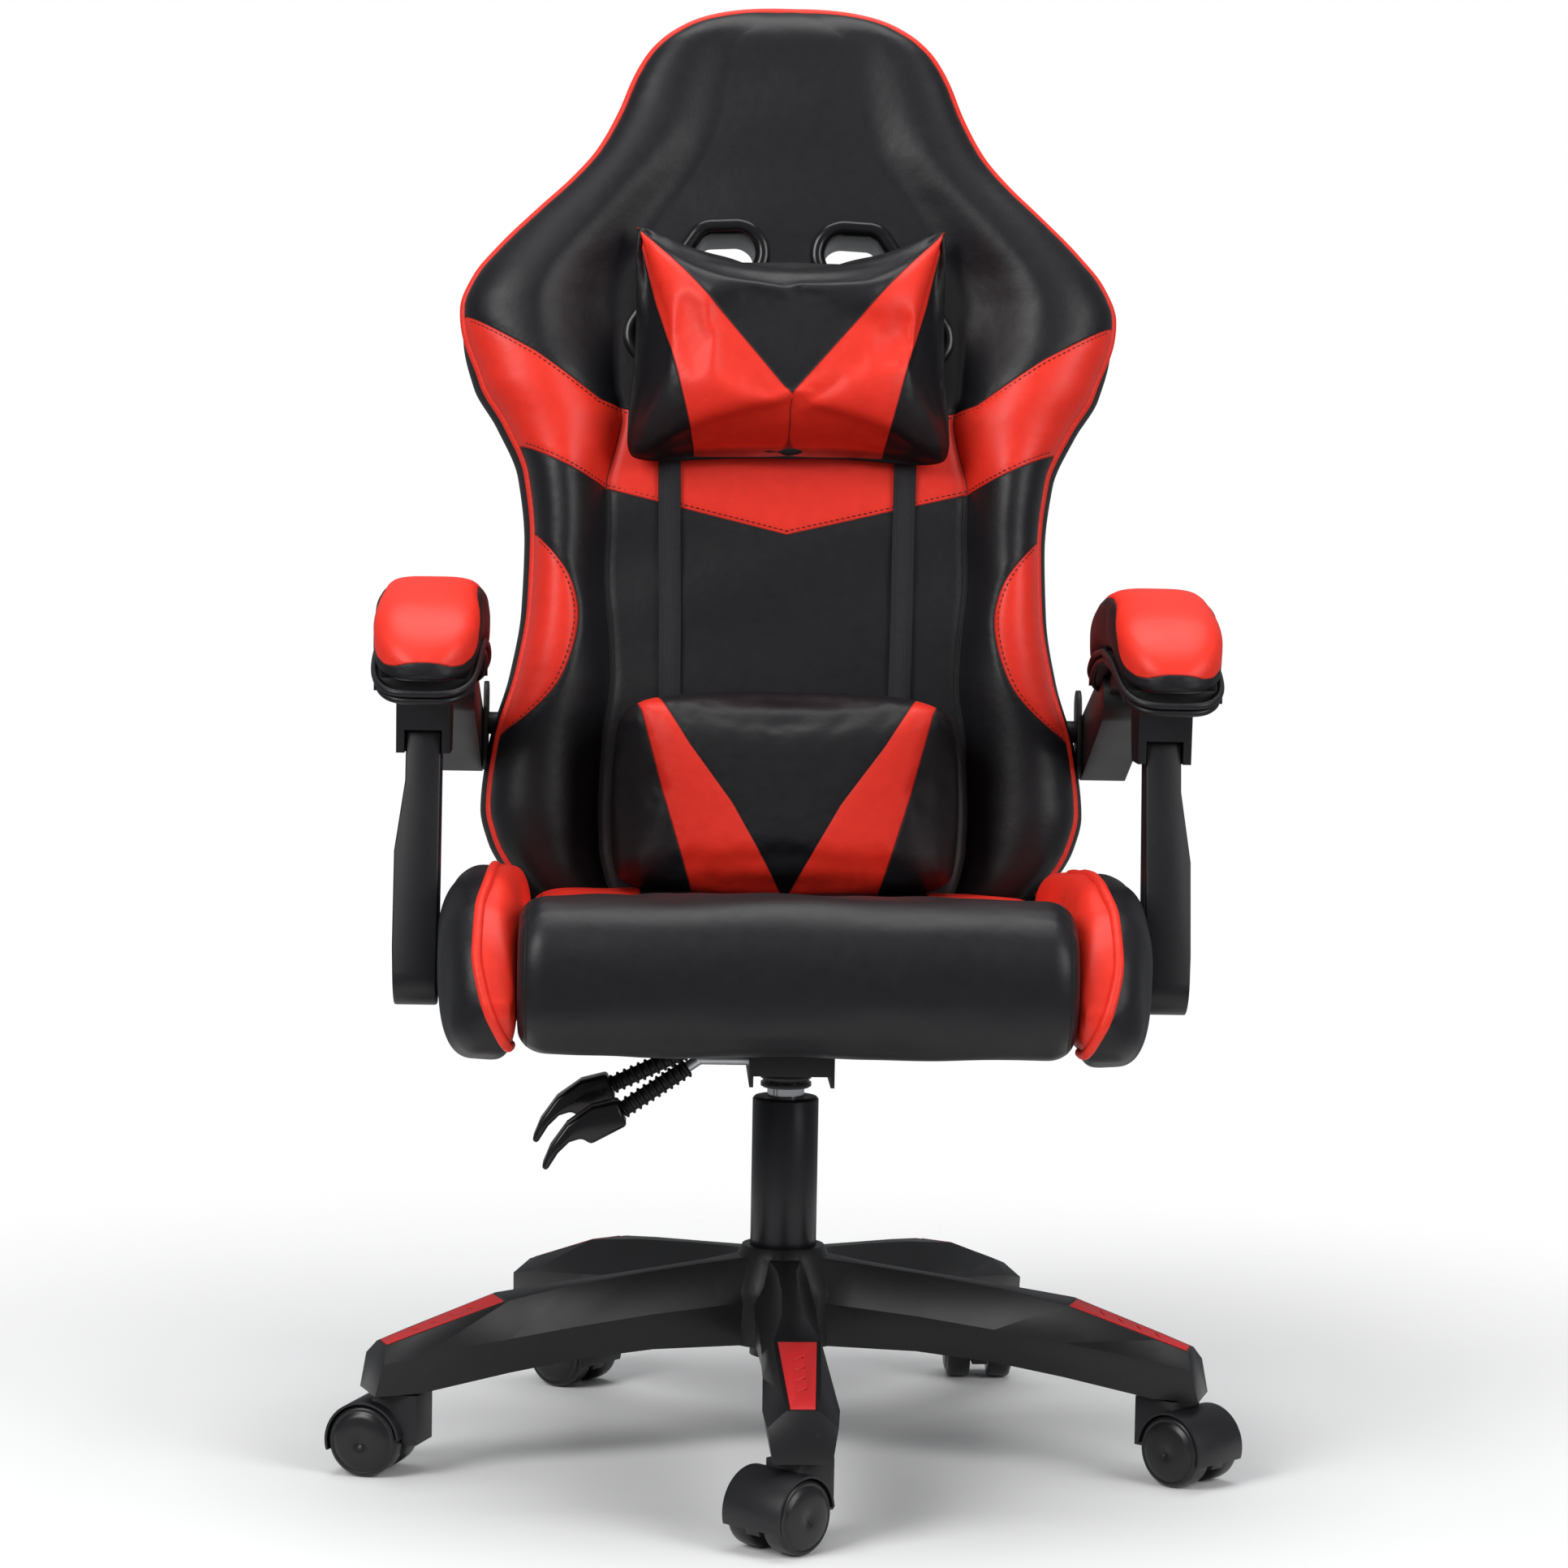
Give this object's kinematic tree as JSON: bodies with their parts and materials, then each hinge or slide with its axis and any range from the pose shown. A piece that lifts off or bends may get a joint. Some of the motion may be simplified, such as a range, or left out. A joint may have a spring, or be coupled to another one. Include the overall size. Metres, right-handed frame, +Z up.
{
  "type": "gaming chair",
  "caption": "High-back bolstered swivel chair with head and lumbar pillows, linked armrests, gas lift and a star base on twin-wheel casters.",
  "frame": {"origin": "on the column axis at the floor, in the middle of the footprint", "axes": "+Z up, -Y towards the front of the seat, +X to the right as seen from the front"},
  "size_m": [0.676, 0.6958, 1.1165],
  "materials": {
    "base_nylon": "moulded nylon with a light satin",
    "insert_red": "moulded red plastic, satin",
    "column_black": "satin black paint",
    "black_plastic": "moulded plastic, fine grain",
    "steel": "zinc plated",
    "chrome": "polished",
    "painted_steel": "black powder coat",
    "boot_rubber": "moulded rubber",
    "black_leather": "smooth coated fabric with fine grain",
    "red_leather": "smooth coated fabric with fine grain",
    "strap_web": "ribbed elastic",
    "wheel_plastic": "moulded nylon"
  },
  "bodies": {
    "base": {"star_base": "base_nylon", "leg_inserts": "insert_red", "lift_tube": "column_black", "guide_bush": "black_plastic", "thrust_bearing": "steel"},
    "spindle": {"piston_rod": "steel"},
    "seat": {"gas_cylinder": "chrome", "taper_cup": "steel", "mechanism_plate": "painted_steel", "mechanism_bolts": "steel", "seat_frame": "painted_steel", "seat_pad": "black_leather", "seat_bolster_left": "red_leather", "seat_bolster_right": "red_leather", "hinge_cover_left": "black_plastic", "hinge_cover_right": "black_plastic"},
    "valve": {"valve_pin": "steel"},
    "height_lever": {"height_lever_rod": "steel", "height_lever_boot": "boot_rubber", "height_lever_handle": "black_plastic"},
    "recline_lever": {"recline_lever_rod": "steel", "recline_lever_boot": "boot_rubber", "recline_lever_handle": "black_plastic"},
    "back": {"hinge_pins": "steel", "back_frame": "painted_steel", "back_pad": "black_leather", "belt_trim_left": "black_plastic", "belt_trim_right": "black_plastic", "head_pillow": "black_leather", "lumbar_pillow": "black_leather", "strap_left": "strap_web", "strap_right": "strap_web", "arm_hangers": "painted_steel"},
    "arm_left": {"arm_body_left": "black_plastic", "arm_pad_left": "red_leather"},
    "arm_right": {"arm_body_right": "black_plastic", "arm_pad_right": "red_leather"},
    "post_left": {"post_left": "black_plastic"},
    "post_right": {"post_right": "black_plastic"},
    "caster_1": {"caster_hood_1": "black_plastic", "caster_pins_1": "steel"},
    "wheel_a_1": {"wheel_a_1": "wheel_plastic"},
    "wheel_b_1": {"wheel_b_1": "wheel_plastic"},
    "caster_2": {"caster_hood_2": "black_plastic", "caster_pins_2": "steel"},
    "wheel_a_2": {"wheel_a_2": "wheel_plastic"},
    "wheel_b_2": {"wheel_b_2": "wheel_plastic"},
    "caster_3": {"caster_hood_3": "black_plastic", "caster_pins_3": "steel"},
    "wheel_a_3": {"wheel_a_3": "wheel_plastic"},
    "wheel_b_3": {"wheel_b_3": "wheel_plastic"},
    "caster_4": {"caster_hood_4": "black_plastic", "caster_pins_4": "steel"},
    "wheel_a_4": {"wheel_a_4": "wheel_plastic"},
    "wheel_b_4": {"wheel_b_4": "wheel_plastic"},
    "caster_5": {"caster_hood_5": "black_plastic", "caster_pins_5": "steel"},
    "wheel_a_5": {"wheel_a_5": "wheel_plastic"},
    "wheel_b_5": {"wheel_b_5": "wheel_plastic"}
  },
  "joints": [
    {"name": "seat_swivel", "type": "hinge", "parent": "base", "child": "spindle", "pos_m": [0, 0, 0.08], "axis": [0, 0, 1], "continuous": true},
    {"name": "lift", "type": "slide", "parent": "spindle", "child": "seat", "axis": [0, 0, 1], "range_m": [0, 0.08]},
    {"name": "valve_press", "type": "slide", "parent": "seat", "child": "valve", "axis": [0, 0, -1], "range_m": [0, 0.003]},
    {"name": "height_lever_lift", "type": "hinge", "parent": "seat", "child": "height_lever", "pos_m": [-0.019, -0.038, 0.311], "axis": [0, 1, 0], "range_deg": [0, 8], "stiffness_Nm_per_rad": 6, "springref_deg": -5.73},
    {"name": "recline_lever_lift", "type": "hinge", "parent": "seat", "child": "recline_lever", "pos_m": [-0.019, -0.108, 0.311], "axis": [0, 1, 0], "range_deg": [0, 8], "stiffness_Nm_per_rad": 6, "springref_deg": -5.73},
    {"name": "recline", "type": "hinge", "parent": "seat", "child": "back", "pos_m": [0, 0.21, 0.36], "axis": [-1, 0, 0], "range_deg": [0, 40]},
    {"name": "arm_left_pivot", "type": "hinge", "parent": "back", "child": "arm_left", "pos_m": [-0.258, 0.23753, 0.53383], "axis": [-1, 0, 0], "range_deg": [-40, 0]},
    {"name": "post_left_pivot", "type": "hinge", "parent": "seat", "child": "post_left", "pos_m": [-0.276, -0.075, 0.366], "axis": [-1, 0, 0], "range_deg": [0, 40]},
    {"name": "arm_right_pivot", "type": "hinge", "parent": "back", "child": "arm_right", "pos_m": [0.258, 0.23753, 0.53383], "axis": [-1, 0, 0], "range_deg": [-40, 0]},
    {"name": "post_right_pivot", "type": "hinge", "parent": "seat", "child": "post_right", "pos_m": [0.276, -0.075, 0.366], "axis": [-1, 0, 0], "range_deg": [0, 40]},
    {"name": "caster_1_swivel", "type": "hinge", "parent": "base", "child": "caster_1", "pos_m": [0.00518, -0.29696, 0.07], "axis": [0, 0, 1], "continuous": true},
    {"name": "wheel_a_1_spin", "type": "hinge", "parent": "caster_1", "child": "wheel_a_1", "pos_m": [-0.0101, -0.31278, 0.0265], "axis": [0.7193, -0.6947, 0], "continuous": true},
    {"name": "wheel_b_1_spin", "type": "hinge", "parent": "caster_1", "child": "wheel_b_1", "pos_m": [-0.0101, -0.31278, 0.0265], "axis": [0.7193, -0.6947, 0], "continuous": true},
    {"name": "caster_2_swivel", "type": "hinge", "parent": "base", "child": "caster_2", "pos_m": [0.28402, -0.08683, 0.07], "axis": [0, 0, 1], "continuous": true},
    {"name": "wheel_a_2_spin", "type": "hinge", "parent": "caster_2", "child": "wheel_a_2", "pos_m": [0.29958, -0.10239, 0.0265], "axis": [0.7071, 0.7071, 0], "continuous": true},
    {"name": "wheel_b_2_spin", "type": "hinge", "parent": "caster_2", "child": "wheel_b_2", "pos_m": [0.29958, -0.10239, 0.0265], "axis": [0.7071, 0.7071, 0], "continuous": true},
    {"name": "caster_3_swivel", "type": "hinge", "parent": "base", "child": "caster_3", "pos_m": [0.17035, 0.24329, 0.07], "axis": [0, 0, 1], "continuous": true},
    {"name": "wheel_a_3_spin", "type": "hinge", "parent": "caster_3", "child": "wheel_a_3", "pos_m": [0.17035, 0.26529, 0.0265], "axis": [-1, 0, 0], "continuous": true},
    {"name": "wheel_b_3_spin", "type": "hinge", "parent": "caster_3", "child": "wheel_b_3", "pos_m": [0.17035, 0.26529, 0.0265], "axis": [-1, 0, 0], "continuous": true},
    {"name": "caster_4_swivel", "type": "hinge", "parent": "base", "child": "caster_4", "pos_m": [-0.17874, 0.23719, 0.07], "axis": [0, 0, 1], "continuous": true},
    {"name": "wheel_a_4_spin", "type": "hinge", "parent": "caster_4", "child": "wheel_a_4", "pos_m": [-0.1614, 0.22365, 0.0265], "axis": [0.6157, 0.788, 0], "continuous": true},
    {"name": "wheel_b_4_spin", "type": "hinge", "parent": "caster_4", "child": "wheel_b_4", "pos_m": [-0.1614, 0.22365, 0.0265], "axis": [0.6157, 0.788, 0], "continuous": true},
    {"name": "caster_5_swivel", "type": "hinge", "parent": "base", "child": "caster_5", "pos_m": [-0.28082, -0.09669, 0.07], "axis": [0, 0, 1], "continuous": true},
    {"name": "wheel_a_5_spin", "type": "hinge", "parent": "caster_5", "child": "wheel_a_5", "pos_m": [-0.30174, -0.0899, 0.0265], "axis": [-0.309, -0.9511, 0], "continuous": true},
    {"name": "wheel_b_5_spin", "type": "hinge", "parent": "caster_5", "child": "wheel_b_5", "pos_m": [-0.30174, -0.0899, 0.0265], "axis": [-0.309, -0.9511, 0], "continuous": true}
  ],
  "couplings": [
    {"joint": "valve_press", "follows": "height_lever_lift", "m_per_rad": 0.0214},
    {"joint": "arm_left_pivot", "follows": "recline", "ratio": -1},
    {"joint": "post_left_pivot", "follows": "recline", "ratio": 1},
    {"joint": "arm_right_pivot", "follows": "recline", "ratio": -1},
    {"joint": "post_right_pivot", "follows": "recline", "ratio": 1}
  ]
}
